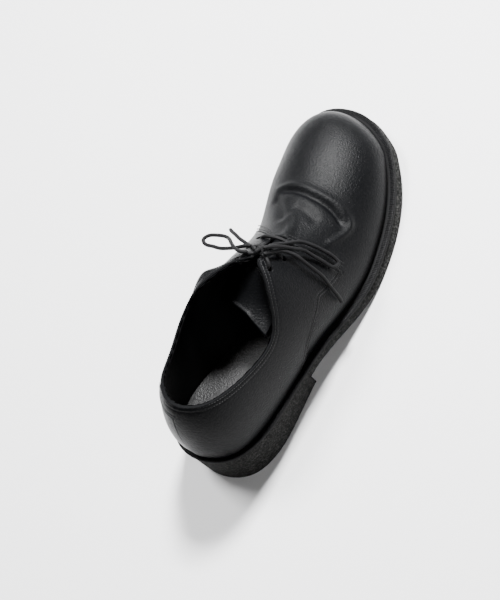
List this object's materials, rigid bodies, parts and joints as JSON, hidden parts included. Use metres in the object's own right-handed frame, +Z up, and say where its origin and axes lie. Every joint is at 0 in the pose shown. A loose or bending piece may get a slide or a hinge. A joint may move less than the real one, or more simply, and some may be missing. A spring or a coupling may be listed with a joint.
{
  "type": "derby shoe",
  "caption": "Plain-toe derby shoe: open facings laced over a tongue, a full welt and a rubber sole with its heel in one.",
  "frame": {"origin": "middle of the shoe's plan at the floor that the heel and forefoot stand on", "axes": "+Y from heel to toe, +X to the outer side of this right shoe, +Z up"},
  "size_m": [0.1142, 0.2976, 0.1073],
  "materials": {
    "black_leather": "smooth calf with a soft wax gloss and fine grain",
    "lining": "smooth lining leather, soft sheen",
    "welt": "smooth black band, half gloss",
    "sponge_rubber": "matt, finely speckled cellular rubber",
    "lace": "thin round waxed cord"
  },
  "bodies": {
    "root": {"outsole": "sponge_rubber", "welt": "welt", "insole": "lining", "upper": "black_leather", "tongue": "black_leather", "lace_bar_1": "lace", "lace_bar_2": "lace", "lace_bar_3": "lace", "lace_knot": "lace", "lace_loop_outer": "lace", "lace_end_outer": "lace", "lace_loop_inner": "lace", "lace_end_inner": "lace"}
  },
  "joints": []
}
